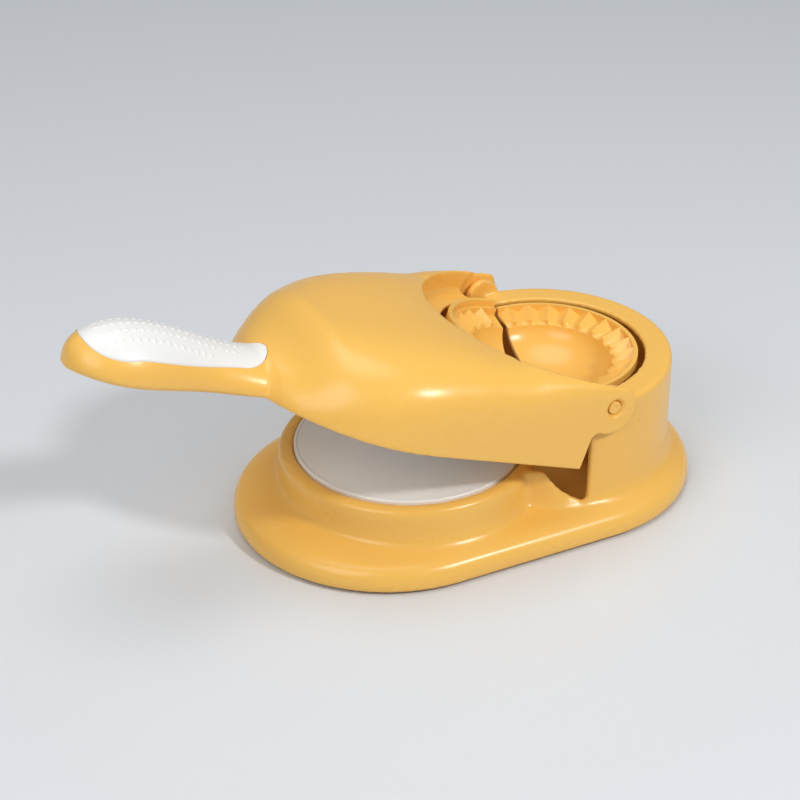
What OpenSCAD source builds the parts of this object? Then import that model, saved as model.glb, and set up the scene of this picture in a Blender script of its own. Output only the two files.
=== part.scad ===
// Hand press for filled dough pockets: a base with a flat dough plate and a
// round tower, and a lid with a long handle. Closing the lid flattens a ball of
// dough. Throwing the lid over folds one half of the crimping mould onto the other.
// Millimetres, Z up. The origin is on the table, under the middle of the base.
// The handle points along -X and the hinge axis lies along Y.

/* [Base] */
// Length of the base, over both round ends
base_len = 196; // [180:1:215]
// Width of the base
base_wid = 125; // [122:1:135]
// Gap between the rim of the base and the table
foot_gap = 1; // [0.6:0.1:2]
// Height of the flange at its outer edge
flange_h = 12; // [10:0.5:13]
// Radius of the rolled edge of the flange
flange_edge_r = 8; // [5:0.5:8.5]
// Rise of the flange from its edge to the walls that stand on it
flange_rise = 1.6; // [0.5:0.1:2.5]
// Radius of the fillet between flange and walls
wall_fillet_r = 4.5; // [3:0.5:5]
// Wall thickness of the base moulding
base_wall = 2.6; // [2:0.1:3.2]

/* [Platform] */
// Radius of the platform that carries the dough plate
platform_r = 52.4; // [51:0.1:53]
// Distance from the middle of the base to the middle of the platform
platform_off = 26; // [24:0.5:28]
// Height of the platform
platform_h = 29.3; // [27:0.1:30]
// Radius of the platform's top edge
platform_edge_r = 3; // [1:0.5:4]
// Radius of the dough plate
plate_r = 46.2; // [44:0.1:46.5]
// Gap around the dough plate
plate_gap = 0.7; // [0.4:0.1:1]
// Thickness of the dough plate at its rim
plate_t = 3; // [2.4:0.1:3.4]
// Height of the dough plate's rim above the platform
plate_proud = 0.6; // [0.2:0.1:0.9]
// Depth of the dish in the dough plate
plate_dish = 1.3; // [0.6:0.1:1.6]
// Width of the dough plate's flat rim
plate_rim_w = 1; // [0.6:0.1:2]

/* [Tower] */
// Radius of the tower
tower_r = 52.8; // [52:0.1:53.5]
// Height of the tower, which is also the height of the hinge axis
tower_h = 57; // [56:0.5:60]
// Radius of the tower's top edge
tower_edge_r = 1.4; // [0.8:0.1:2]
// Radius of the round well in the tower's top
well_r = 41.7; // [41.5:0.1:42.2]
// Thickness of the tower's flat ring top
tower_top_t = 2.6; // [2:0.1:3]
// Distance that the tower's side walls run past the hinge axis to the front
cheek_len = 8; // [7:0.5:9]
// Height of the floor inside the tower
pit_floor_h = 8; // [7:0.5:9]
// Radius of the swept edge of the low wall in front of the tower
curb_r = 30; // [28:0.5:31]
// Distance of that sweep's centre behind the hinge axis
curb_back = 2.5; // [1:0.5:4]
// Height of that sweep's centre
curb_centre_h = 42; // [41:0.5:43]

/* [Hinge] */
// Radius of the hinge pins
pin_r = 2.7; // [2.2:0.1:3]
// Running clearance between a pin and its bearing
pin_run = 0.06; // [0.03:0.01:0.1]
// Clearance between a pin and the ear that grips it
pin_grip = 0.01; // [0.005:0.005:0.02]
// Radius of the hinge lugs that rise from the tower
lug_r = 7.2; // [6.5:0.1:7.5]
// Distance from the middle of the part to the inner face of a lug
lug_in = 49; // [48:0.1:49.5]
// Depth of material left behind the blind end of a pin bearing
lug_web = 1.4; // [1:0.1:2]
// Radius of the thrust boss on the outside of the tower
thrust_r = 5; // [4:0.1:6]
// Gap between the thrust boss and the ear
thrust_gap = 0.25; // [0.2:0.01:0.4]
// Radius of the round recess in the ear around the pin's end
pin_recess_r = 4; // [3.4:0.1:4.5]
// Depth of that recess
pin_recess_d = 1; // [0.5:0.1:1.2]
// Depth of the pin's end below the face of the ear
pin_sunk = 0.2; // [0.1:0.1:0.4]
// Angle that the lid stands open at rest
open_angle = 20.5; // [10:0.5:30]

/* [Lid] */
// Gap between the tower and the lid's round recess
recess_gap = 1.4; // [1:0.1:1.8]
// Wall thickness of the lid
lid_wall = 2.2; // [2:0.1:2.4]
// Gap that the lid's deck keeps from the tower's top when folded over
deck_gap = 0.3; // [0.2:0.05:0.6]
// Thickness of the lid's deck
deck_t = 2.2; // [1.8:0.1:2.6]
// Height of the recess's edge above the hinge axis
recess_h = 8.7; // [8:0.1:9]
// Height of the lid's rim when the lid is closed
rim_h = 29.5; // [29.4:0.1:31]
// Radius of the opening in the deck around the folding mould
deck_hole_r = 43.6; // [43:0.1:44]
// Radius of an ear's round end
ear_r = 10.2; // [9.5:0.1:11]
// Distance of the ear's centre in front of the hinge axis
ear_front = 0.8; // [0:0.1:2]
// Distance of the ear's centre below the hinge axis
ear_drop = 1.2; // [0.5:0.1:2]
// Distance from the hinge axis to the rear edge of the lid's sides
skirt_back = 5.8; // [5.5:0.1:7]
// Radius of the corner between an ear and the edge below it
ear_corner_r = 3; // [2:0.5:4]

/* [Handle] */
// Length of the handle in front of the round lid
handle_len = 76.7; // [70:0.1:90]
// Width of the handle at its widest
handle_wid = 37.2; // [34:0.2:40]
// Width of the handle at its neck
neck_wid = 30.2; // [28:0.2:32]
// Height of the handle's underside when the lid is closed
handle_low = 27; // [26:0.1:28]
// Height of the handle's crown when the lid is closed
crown_h = 46.6; // [44:0.2:48]
// Height of the handle's neck when the lid is closed
neck_h = 41.4; // [40:0.2:43]
// Height of the handle's nose when the lid is closed
nose_h = 32; // [31:0.2:34]
// Width of the white grip at its widest
grip_wid = 30.8; // [26:0.2:31]
// Radius of the grip's rear end
grip_end_r = 11; // [9:0.2:12]
// Thickness of the grip
grip_t = 2.4; // [2:0.1:3]
// Gap around the grip
grip_gap = 0.15; // [0.1:0.05:0.3]
// Thickness of the handle's floor
handle_floor_t = 3.2; // [2.6:0.1:4]

/* [Moulds] */
// Outer radius of the fixed mould half
fixed_r = 38.9; // [38.5:0.1:39.2]
// Clearance between the folding half's ring and the fixed half or the well
ring_gap = 0.45; // [0.35:0.05:0.6]
// Height of the folding half's ring above the hinge axis
ring_rise = 2.6; // [2:0.1:3]
// Outer radius of the crimping teeth
teeth_r = 37.2; // [36:0.1:37.5]
// Radius of the filling pocket
pocket_r = 28.6; // [27:0.1:30]
// Gap between the folding half's bowl and the lid's liner
bowl_gap = 0.3; // [0.2:0.1:1]
// Wall thickness of the mould halves
mould_wall = 1.8; // [1.4:0.1:2]
// Number of crimping teeth in one half
teeth_n = 13; // [8:1:16]
// Height of a crimping tooth
tooth_h = 3; // [2:0.1:3.4]
// Gap between the two halves when folded together, in each half
mould_gap = 0.3; // [0.2:0.05:0.5]
// Radius on which the mould halves' screw bosses stand
mould_boss_ring = 33.4; // [32:0.1:34.5]
// Angle between the middle and a mould screw boss
mould_boss_angle = 40; // [35:1:50]

/* [Press plate] */
// Radius of the press plate in the lid
press_r = 46; // [44:0.1:46.4]
// Thickness of the press plate
press_t = 2.6; // [2.2:0.1:3]
// Height of the press plate's face when the lid is closed
press_h = 31.2; // [31:0.1:31.4]
// Thickness of the lid's liner
liner_t = 2.4; // [2:0.1:2.8]
// Gap between the liner and the lid's wall
liner_gap = 0.2; // [0.1:0.05:0.4]

/* [Fastenings] */
// Radius of the screws' threads
screw_r = 1.5; // [1.3:0.1:1.7]
// Radius of the screws' heads
head_r = 2.9; // [2.6:0.1:3]
// Height of the screws' heads
head_t = 1.5; // [1.2:0.1:1.6]
// Radius of the screw bosses
boss_r = 3.3; // [3.1:0.1:3.6]
// Clearance around a thread in its pilot bore
pilot_gap = 0.04; // [0.02:0.01:0.08]
// Clearance around a thread where it passes through
through_gap = 0.3; // [0.2:0.05:0.5]
// Radius of the rubber feet
foot_r = 6.5; // [5:0.5:8]
// Depth that the feet sit in the bottom cover
foot_seat = 1; // [0.6:0.1:1.2]
// Thickness of the bottom cover
cover_t = 2.2; // [2:0.1:2.8]
// Gap between the bottom cover and the base
cover_gap = 0.3; // [0.2:0.05:0.5]

/* [Hidden] */

$fn = 96;
small = 0.01;
big = 400;
// how far a cutter runs past what it cuts
over = 1;

// places along the base
base_r = base_wid / 2;
arc_x = base_len / 2 - base_r;
hinge_x = arc_x;
hinge_z = tower_h;
platform_x = -platform_off;
pit_r = tower_r - base_wall;
lug_out = sqrt(pow(tower_r, 2) - pow(lug_r, 2));

// heights in the base
cover_up = 0.4;
cover_z = foot_gap + cover_up;
cover_top = cover_z + cover_t;
cover_head_sink = head_t / 2;
plate_top = platform_h + plate_proud;
plate_seat = plate_top - plate_t;
plate_web = plate_seat - base_wall;
flange_under = flange_h - base_wall;

// the lid when closed
recess_r = tower_r + recess_gap;
lid_r = recess_r + lid_wall;
deck_z = hinge_z - deck_gap;
lid_front = -arc_x - lid_r;
tip_x = lid_front - handle_len;
recess_front = hinge_x - recess_r;
lid_top = hinge_z + recess_h;
thrust_face = sqrt(pow(recess_r, 2) - pow(thrust_r, 2)) - thrust_gap;
liner_z = press_h + press_t;
liner_top = liner_z + liner_t;
liner_r = recess_r - liner_gap;
cheek_clear = 1.6;
cavity_lap = 0.2;
round_power = 2.2;

// the handle's outline, measured from its tip
nose_len = 24;
nose_rise_len = 27;
neck_at = 57.7;
crown_end = 71.7;
grip_start = 3.6;
grip_nose = 17;
grip_taper = 25;
grip_rear = 67.7;
flare = 34;
flare_fall = 0.9;
handle_edge_h = 30;
under_start = 59;
under_len = 25;
nose_cut = 0.15;

// the moulds
ring_in = fixed_r + ring_gap;
ring_out = well_r - ring_gap;
tooth_top = hinge_z - mould_gap;
tooth_floor = tooth_top - tooth_h;
mould_base = tooth_floor - mould_wall;
pocket_d = tooth_top - liner_top - mould_wall - bowl_gap;
fixed_boss_low = 30;
fixed_head_z = 27;

// how far the screws' threads reach into what they hold, and the pilot bores past them
deep_bite = 8;
liner_bite = 7;
cover_bite = 4;
plate_bite = 0.3;
press_bite = 1.2;
pilot_over = 1;
plate_pilot_over = 0.1;

// screws stand at these places, as [x, y]
cover_screw_in = 6.9;
flange_screw_ring = base_r - cover_screw_in;
flange_screw_angle = 40;
cover_screw_xy = [for (s = [-1, 1], t = [-1, 1])
    [s * (arc_x + flange_screw_ring * cos(flange_screw_angle)),
     t * flange_screw_ring * sin(flange_screw_angle)]];
// one foot stands in the middle, the others near the ends
foot_in = 16.5;
foot_ring = base_r - foot_in;
foot_angle = 42;
foot_xy = concat([[0, 0]], [for (s = [-1, 1], t = [-1, 1])
    [s * (arc_x + foot_ring * cos(foot_angle)), t * foot_ring * sin(foot_angle)]]);
plate_screw_ring = 30;
plate_screw_xy = [for (a = [60, 180, 300])
    [platform_x + plate_screw_ring * cos(a), plate_screw_ring * sin(a)]];
press_screw_xy = plate_screw_xy;
washer_r = 5;
washer_t = 0.8;
fixed_screw_xy = [for (t = [-1, 1])
    [hinge_x + mould_boss_ring * cos(mould_boss_angle),
     t * mould_boss_ring * sin(mould_boss_angle)]];
folding_screw_xy = [for (p = fixed_screw_xy) [2 * hinge_x - p[0], p[1]]];
side_screw_in = 0.5;
side_screw_y = liner_r - head_r - through_gap - side_screw_in;
front_screw = 18;
rear_screw = 27;
liner_screw_xy = [for (t = [-1, 1]) each [
    [lid_front + front_screw, t * front_screw],
    [platform_x, t * side_screw_y],
    [hinge_x - rear_screw, t * side_screw_y]]];
grip_screw_in = [24, 58];
grip_screw_xy = [for (s = grip_screw_in) [tip_x + s, 0]];

// ---- curves -------------------------------------------------------------

// Points on an arc in the plane, from angle a to angle b
function arc(cx, cz, r, a, b, n = 8) =
    [for (i = [0:n]) let (t = a + (b - a) * i / n) [cx + r * cos(t), cz + r * sin(t)]];

// A quarter of an ellipse: 0 at t = 0, 1 at t = 1, upright at its start
function nose(t) = sqrt(max(0, 1 - pow(1 - min(1, max(0, t)), 2)));

// A smooth step from 0 to 1
function ease(t) = (1 - cos(180 * min(1, max(0, t)))) / 2;

// The larger of two values, rounded over a width k where they are close
function soft_max(a, b, k) = max(a, b) + pow(max(k - abs(a - b), 0), 2) / (4 * k);

// Half the width of the round lid at x, falling off in front of it
function round_half(x) =
    let (d = max(0, -arc_x - x))
    d < lid_r ? lid_r * pow(1 - pow(d / lid_r, round_power), 1 / round_power)
        : -flare_fall * (d - lid_r);

// Half the width of the handle at x
function handle_half(x) =
    let (s = x - tip_x)
    handle_wid / 2 * nose(s / nose_len)
        - (handle_wid - neck_wid) / 2 * ease((s - nose_len) / (neck_at - nose_len));

least_half = 0.4;
function lid_half(x) = max(least_half, soft_max(round_half(x), handle_half(x), flare));

// Height of the top along the middle of the handle
function handle_top(x) =
    let (s = x - tip_x)
    nose_h + (crown_h - nose_h) * nose(s / nose_rise_len)
        - (crown_h - neck_h) * ease((s - nose_rise_len) / (crown_end - nose_rise_len));

// Height of the top along the middle of the round lid: a steep front, then a long slope
dome_start = lid_front + 2;
dome_start_h = 40;
dome_front_len = 18;
shoulder_h = 58.2;
shoulder_power = 1.15;
slope_start = lid_front + 8;
slope_power = 1.2;
dome_fall = 2;
crest_blend = 10;
function unit(t) = min(1, max(0, t));
function dome_top(x) =
    let (front = unit((x - dome_start) / dome_front_len),
         back = unit((x - slope_start) / (recess_front - slope_start)))
    dome_start_h + (shoulder_h - dome_start_h) * pow(sin(90 * front), shoulder_power)
        + (lid_top - shoulder_h) * pow(sin(90 * back), slope_power)
        - dome_fall * max(0, dome_start - x);

function lid_crest(x) = soft_max(handle_top(x), dome_top(x), crest_blend);

// How square the cross-section is: 2 is an ellipse
square_steps = [[0, 1.8], [54, 1.9], [83, 2], [95, 2.5], [111, 3.3], [134, 4.1],
    [151, 5.1], [159, 5.4], [179, 10], [195, 22], [240, 22]];
function squareness(x) = lookup(x - tip_x, square_steps);

// The handle's underside turns into the lid's rim
function under_turn(x) = ease((x - tip_x - under_start) / under_len);
rim_edge = 0.6;
handle_under_in = 5;
rim_under_in = 0.5;
under_share = 0.4;
function edge_h(x) = handle_edge_h + (rim_h + rim_edge - handle_edge_h) * under_turn(x);
function under_h(x) = handle_low + (rim_h - handle_low) * under_turn(x);
function under_in(x) =
    min(lid_half(x) * under_share,
        handle_under_in + (rim_under_in - handle_under_in) * under_turn(x));

// One cross-section of the lid, shrunk by a wall w, down to a height low, as points [x, y, z]
cross_n = 26;
function cross_section(x, w, low) =
    let (a = max(0.2, lid_half(x) - w), e = edge_h(x), h = max(0.2, lid_crest(x) - w - e),
         p = 2 / squareness(x), in = min(a * 0.5, under_in(x)), d = e - low)
    concat(
        [for (i = [0:cross_n]) let (t = 180 * i / cross_n, c = cos(t))
            [x, -sign(c) * a * pow(abs(c), p), e + h * pow(sin(t), p)]],
        [for (t = [30:30:90]) [x, a - in + in * cos(t), e - d * sin(t)]],
        [for (t = [90:-30:30]) [x, in - a - in * cos(t), e - d * sin(t)]]);

// The triangles of an end face whose points run there along one side and back along the other
function end_face(n) = [for (i = [0:ceil(n / 2) - 2]) each n - 2 - i > i + 1
    ? [[i + 1, i, n - 1 - i], [n - 2 - i, i + 1, n - 1 - i]] : [[i + 1, i, n - 1 - i]]];

// A closed skin through a list of rings with the same number of points
module skin(rings) {
    n = len(rings[0]);
    last = (len(rings) - 1) * n;
    polyhedron(
        points = [for (r = rings) each r],
        faces = concat(
            end_face(n),
            [for (j = [0:len(rings) - 2], i = [0:n - 1]) each [
                [(j + 1) * n + i, j * n + i, j * n + (i + 1) % n],
                [(j + 1) * n + i, j * n + (i + 1) % n, (j + 1) * n + (i + 1) % n]]],
            [for (f = end_face(n)) [last + f[2], last + f[1], last + f[0]]]),
        convexity = 8);
}

// Stations along the lid: close together where the form turns fast
function steps(a, b, n) = [for (i = [0:n - 1]) a + (b - a) * i / n];
lid_over = 4;
lid_end = hinge_x + ear_r + lid_over;
nose_span = 22;
neck_span = 66;
front_span = 22;
rear_span = 20;
outer_x = concat(
    [for (i = [0:7]) tip_x + nose_cut + nose_span * pow(i / 8, 2)],
    steps(tip_x + nose_span, tip_x + neck_span, 7),
    steps(tip_x + neck_span, lid_front + front_span, 10),
    steps(lid_front + front_span, hinge_x - rear_span, 13),
    steps(hinge_x - rear_span, lid_end, 3),
    [lid_end]);
inner_start = 6;
inner_x = concat(
    steps(lid_front + inner_start, lid_front + front_span, 6),
    steps(lid_front + front_span, hinge_x - rear_span, 11),
    [hinge_x - rear_span, lid_end]);

// The height of the handle's top face at x, y
function top_at(x, y) =
    let (e = edge_h(x), n = squareness(x), q = 1 - pow(min(1, abs(y) / lid_half(x)), n))
    e + (lid_crest(x) - e) * pow(max(0, q), 1 / n);

// Half the width of the grip, measured from the handle's tip
function grip_half(s, g) =
    let (w = grip_wid / 2 + g, r = grip_end_r + g, u = s - grip_start + g,
         body = w * nose(u / grip_nose) + (r - w) * ease((s - grip_taper) / (grip_rear - grip_taper)))
    s < grip_rear ? max(0.3, body) : sqrt(max(0.09, pow(r, 2) - pow(s - grip_rear, 2)));

// The grip as a curved slab with a gap g around it, its top raised by up
grip_cols = 10;
grip_nose_span = 14;
function grip_ring(s, g, up, down) =
    let (w = grip_half(s, g), x = tip_x + s)
    concat(
        [for (i = [0:grip_cols]) let (y = w * (2 * i / grip_cols - 1))
            [x, y, top_at(x, y) + up]],
        [for (i = [grip_cols:-1:0]) let (y = w * (2 * i / grip_cols - 1))
            [x, y, top_at(x, y) - down]]);

function grip_steps(g) = concat(
    [for (i = [0:6]) grip_start - g + small + grip_nose_span * pow(i / 7, 2)],
    steps(grip_start + grip_nose_span, grip_rear, 9),
    [for (i = [0:6]) grip_rear + (grip_end_r + g - small) * sin(90 * i / 6)]);

module grip_form(g, up, down) {
    skin([for (s = grip_steps(g)) grip_ring(s, g, up, down)]);
}

// ---- shared shapes ------------------------------------------------------

// Turns what is drawn for the closed lid to where the lid rests
module lid_pose() {
    translate([hinge_x, 0, hinge_z]) rotate([0, open_angle, 0]) translate([-hinge_x, 0, -hinge_z])
        children();
}

// A slab between z0 and z1 with round ends, like the base seen from above
module stadium(r, z0, z1) {
    translate([0, 0, z0]) linear_extrude(z1 - z0) union() {
        square([2 * arc_x, 2 * r], center = true);
        for (s = [-1, 1]) translate([s * arc_x, 0]) circle(r);
    }
}

// A rod along Y between two distances from the middle
module cross_rod(x, z, r, y0, y1) {
    translate([x, y0, z]) rotate([-90, 0, 0]) cylinder(r = r, h = y1 - y0);
}

// The same on the near side and the far side
module both_sides() {
    for (m = [0, 1]) mirror([0, m, 0]) children();
}

module boss(p, r, z0, z1) {
    translate([p[0], p[1], z0]) cylinder(r = r, h = z1 - z0, $fn = 48);
}

// A pan-head screw whose head's seat is at z, pointing up, or down with up = -1
head_flat = 0.7;
head_edge = 0.6;
tip_r = 0.3;
module screw(p, z, length, up = 1) {
    translate([p[0], p[1], z]) rotate([up > 0 ? 0 : 180, 0, 0]) rotate_extrude($fn = 48)
        polygon([[0, -head_t], [head_r * head_flat, -head_t], [head_r, -head_t * head_edge],
            [head_r, 0], [screw_r, 0], [screw_r, length - screw_r], [tip_r, length], [0, length]]);
}

// ---- base ---------------------------------------------------------------

// Cross-section of the flange, from the middle outward
low_edge_r = 1.4;
flange_edge_end = 78;
flange_profile = concat(
    [[0, foot_gap]],
    arc(base_r - low_edge_r, foot_gap + low_edge_r, low_edge_r, -90, 0, 4),
    arc(base_r - flange_edge_r, flange_h - flange_edge_r, flange_edge_r, 0, flange_edge_end, 8),
    [[platform_r - wall_fillet_r, flange_h + flange_rise], [0, flange_h + flange_rise]]);

module flange() {
    for (s = [-1, 1]) translate([s * arc_x, 0, 0]) rotate_extrude() polygon(flange_profile);
    translate([-arc_x, 0, 0]) rotate([90, 0, 90]) linear_extrude(2 * arc_x) union() {
        polygon(flange_profile);
        mirror([1, 0]) polygon(flange_profile);
    }
}

// A round wall on the flange, with a fillet below and a rounded top edge. The fillet
// ends where it has turned to the slope of the flange.
fillet_end = 257;
fillet_rise = 0.2;
fillet_sink = 3;
module round_wall(r, top, edge) {
    foot = flange_h + fillet_rise;
    fillet = arc(r + wall_fillet_r, foot + wall_fillet_r, wall_fillet_r, fillet_end, 180, 6);
    rotate_extrude() polygon(concat(
        [[0, foot - fillet_sink], [fillet[0][0], foot - fillet_sink]],
        fillet,
        arc(r - edge, top - edge, edge, 0, 90, 5),
        [[0, top]]));
}

// What is taken from the front of the tower: all above a swept edge
module tower_front_cut() {
    rotate([90, 0, 0]) linear_extrude(big, center = true) difference() {
        union() {
            translate([hinge_x + curb_back, curb_centre_h]) circle(curb_r);
            translate([hinge_x - big, platform_h]) square([big, big]);
            translate([hinge_x + curb_back - curb_r, curb_centre_h]) square([curb_r, big]);
        }
        translate([hinge_x - cheek_len, 0]) square([big, big]);
    }
}

module platform_body() {
    translate([platform_x, 0, 0]) round_wall(platform_r, platform_h, platform_edge_r);
}

module tower_body() {
    difference() {
        translate([hinge_x, 0, 0]) round_wall(tower_r, tower_h, tower_edge_r);
        tower_front_cut();
    }
}

module hinge_lugs() {
    both_sides() {
        cross_rod(hinge_x, hinge_z, lug_r, lug_in, lug_out);
        cross_rod(hinge_x, hinge_z, thrust_r, lug_in, thrust_face);
    }
}

module tower_pit() {
    difference() {
        union() {
            translate([hinge_x, 0, pit_floor_h])
                cylinder(r = pit_r, h = tower_h - tower_top_t - pit_floor_h);
            translate([hinge_x, 0, pit_floor_h]) cylinder(r = well_r, h = big);
            intersection() {
                translate([hinge_x, 0, pit_floor_h]) cylinder(r = pit_r, h = big);
                translate([hinge_x + deck_gap - big, -big / 2, 0]) cube([big, big, big]);
            }
        }
        translate([platform_x, 0, 0]) cylinder(r = platform_r, h = platform_h + small);
    }
}

// The hollow under the base moulding, open below. The tower's pit keeps its floor and
// walls, and the screws keep their bosses.
side_lean = 1;
edge_keep = 1.5;
module base_hollow() {
    stadium(base_r - base_wall, 0, cover_top);
    difference() {
        union() {
            difference() {
                union() {
                    stadium(base_r - base_wall - side_lean, cover_top - small, flange_under - edge_keep);
                    stadium(base_r - flange_edge_r - base_wall, cover_top - small, flange_under);
                }
                translate([hinge_x, 0, pit_floor_h - base_wall]) cylinder(r = tower_r, h = big);
            }
            translate([platform_x, 0, cover_top - small])
                cylinder(r = platform_r - base_wall, h = plate_web - cover_top + small);
        }
        for (p = cover_screw_xy) boss(p, boss_r, cover_top, big);
        for (p = fixed_screw_xy) boss(p, boss_r + base_wall, cover_top, big);
    }
}

module base_shell() {
    color("#f2b950") difference() {
        union() {
            difference() {
                union() {
                    flange();
                    platform_body();
                    tower_body();
                }
                tower_pit();
                base_hollow();
                // seat of the dough plate
                translate([platform_x, 0, plate_seat]) cylinder(r = plate_r + plate_gap, h = big);
            }
            hinge_lugs();
            // pillars under the fixed mould
            for (p = fixed_screw_xy) boss(p, boss_r + base_wall / 2, pit_floor_h - over, fixed_boss_low);
        }
        // pin bearings, blind from outside
        both_sides() cross_rod(hinge_x, hinge_z, pin_r + pin_run, lug_in + lug_web, thrust_face + over);
        for (p = plate_screw_xy) boss(p, boss_r + through_gap, 0, plate_seat + over);
        for (p = cover_screw_xy) boss(p, screw_r + pilot_gap, 0, cover_top + cover_bite + pilot_over);
        for (p = fixed_screw_xy) {
            boss(p, head_r + through_gap, 0, fixed_head_z);
            boss(p, screw_r + through_gap, 0, fixed_boss_low + over);
        }
    }
}

module bottom_cover() {
    color("#e8ae47") difference() {
        stadium(base_r - base_wall - cover_gap, cover_z, cover_top - small);
        for (p = foot_xy) boss(p, foot_r + small, 0, cover_z + foot_seat);
        for (p = cover_screw_xy) {
            boss(p, screw_r + through_gap, 0, big);
            boss(p, head_r + through_gap, 0, cover_z + cover_head_sink);
        }
    }
}

module cover_screws() {
    color("#b9bcc0") for (p = cover_screw_xy)
        screw(p, cover_z + cover_head_sink, cover_t - cover_head_sink + cover_bite);
}

foot_edge = 0.4;
module rubber_feet() {
    color("#4a4a48") for (p = foot_xy) translate([p[0], p[1], 0]) rotate_extrude()
        polygon(concat([[0, 0]], arc(foot_r - foot_edge, foot_edge, foot_edge, -90, 0, 3),
            [[foot_r, cover_z + foot_seat], [0, cover_z + foot_seat]]));
}

plate_edge = 0.3;
plate_boss_lap = 0.5;
module dough_plate() {
    dish_r = plate_r - plate_rim_w;
    // radius of the sphere that the dish is cut with
    ball = (pow(dish_r, 2) + pow(plate_dish, 2)) / (2 * plate_dish);
    color("#f4f2ee") difference() {
        union() {
            translate([platform_x, 0, plate_seat]) rotate_extrude()
                polygon(concat([[0, 0], [plate_r, 0]],
                    arc(plate_r - plate_edge, plate_t - plate_edge, plate_edge, 0, 90, 3),
                    [for (i = [0:8]) let (r = dish_r * (8 - i) / 8)
                        [r, plate_t + ball - plate_dish - sqrt(pow(ball, 2) - pow(r, 2))]]));
            for (p = plate_screw_xy) boss(p, boss_r, plate_web, plate_seat + plate_boss_lap);
        }
        for (p = plate_screw_xy)
            boss(p, screw_r + pilot_gap, 0, plate_seat + plate_bite + plate_pilot_over);
    }
}

// A screw with a wide head, from below, or from above with up = -1
washer_head_flat = 0.8;
washer_tip = 0.5;
module washer_screw(p, z, length, up = 1) {
    translate([p[0], p[1], z]) rotate([up > 0 ? 0 : 180, 0, 0]) rotate_extrude($fn = 48)
        polygon([[0, -head_t - washer_t], [head_r * washer_head_flat, -head_t - washer_t],
            [head_r, -washer_t], [washer_r, -washer_t], [washer_r, 0], [screw_r, 0],
            [screw_r, length - washer_tip], [0, length]]);
}

module dough_plate_screws() {
    color("#b9bcc0") for (p = plate_screw_xy)
        washer_screw(p, plate_web, plate_seat - plate_web + plate_bite);
}

// ---- moulds -------------------------------------------------------------

// One mould half drawn about the hinge's middle, lying behind the hinge axis. The
// filling pocket runs through both halves, so it is open at the hinge axis.
bowl_n = 14;
shelf_w = tooth_floor - hinge_z;
top_w = tooth_top - hinge_z;
under_w = shelf_w - mould_wall;
bowl_d = pocket_d - tooth_h;
bowl_end = acos(mould_wall / (bowl_d + mould_wall));

function mould_profile(rim) = concat(
    [for (i = [0:bowl_n]) let (t = 90 * i / bowl_n) [pocket_r * sin(t), shelf_w - bowl_d * cos(t)]],
    [[teeth_r, shelf_w], [teeth_r, top_w]],
    rim,
    [for (i = [bowl_n:-1:0]) let (t = bowl_end * i / bowl_n)
        [(pocket_r + mould_wall) * sin(t), shelf_w - (bowl_d + mould_wall) * cos(t)]]);

// A crimping tooth: a ridge that rises from nothing at the pocket to its full height outside
tooth_sink = 0.2;
tooth_lap = 0.3;
module tooth() {
    near = pocket_r + tooth_lap;
    far = teeth_r + tooth_lap;
    spread = tan(90 / teeth_n);
    polyhedron(
        points = [[near, -near * spread, -tooth_sink], [near, near * spread, -tooth_sink],
            [far, -far * spread, -tooth_sink], [far, far * spread, -tooth_sink],
            [near, 0, 0], [far, 0, tooth_h]],
        faces = [[2, 3, 1], [2, 1, 0], [5, 2, 0], [4, 5, 0], [3, 5, 1], [5, 4, 1], [1, 4, 0], [5, 3, 2]]);
}

module teeth(angles) {
    for (a = angles) rotate([0, 0, a]) translate([0, 0, shelf_w]) tooth();
}

module mould_half(rim, angles) {
    difference() {
        union() {
            rotate_extrude() polygon(mould_profile(rim));
            teeth(angles);
        }
        translate([mould_gap - big, -big / 2, -big / 2]) cube(big);
    }
}

tooth_pitch = 180 / teeth_n;
fixed_rim = [[fixed_r, top_w], [fixed_r, under_w]];
ring_edge = 0.4;
folding_rim = [[ring_in, top_w], [ring_in, ring_rise - ring_edge], [ring_in + ring_edge, ring_rise],
    [ring_out - ring_edge, ring_rise], [ring_out, ring_rise - ring_edge], [ring_out, under_w]];

module fixed_mould() {
    color("#f2b950") difference() {
        union() {
            translate([hinge_x, 0, hinge_z])
                mould_half(fixed_rim, [for (i = [0:teeth_n - 1]) (i + 0.5) * tooth_pitch - 90]);
            for (p = fixed_screw_xy) boss(p, boss_r, fixed_boss_low, tooth_floor - mould_wall / 2);
        }
        for (p = fixed_screw_xy) boss(p, screw_r + pilot_gap, 0, fixed_boss_low + deep_bite + pilot_over);
    }
}

module fixed_mould_screws() {
    color("#b9bcc0") for (p = fixed_screw_xy)
        screw(p, fixed_head_z, fixed_boss_low - fixed_head_z + deep_bite);
}

module folding_mould() {
    color("#f2b950") lid_pose() difference() {
        union() {
            translate([hinge_x, 0, hinge_z]) rotate([0, 0, 180])
                mould_half(folding_rim, [for (i = [1:teeth_n - 1]) i * tooth_pitch - 90]);
            for (p = folding_screw_xy) boss(p, boss_r, liner_top, tooth_floor - mould_wall / 2);
        }
        for (p = folding_screw_xy) boss(p, screw_r + pilot_gap, 0, liner_top + deep_bite + pilot_over);
    }
}

module folding_mould_screws() {
    color("#b9bcc0") lid_pose() for (p = folding_screw_xy)
        screw(p, liner_z + head_t, liner_t - head_t + deep_bite);
}

// ---- lid ----------------------------------------------------------------

module lid_outside() {
    skin([for (x = outer_x) cross_section(x, 0, under_h(x))]);
}

// The lid's inner outline seen from above, open toward the tower
module lid_plan(r) {
    translate([-arc_x, 0]) circle(r);
    translate([-arc_x, -r]) square([big, 2 * r]);
}

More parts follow.
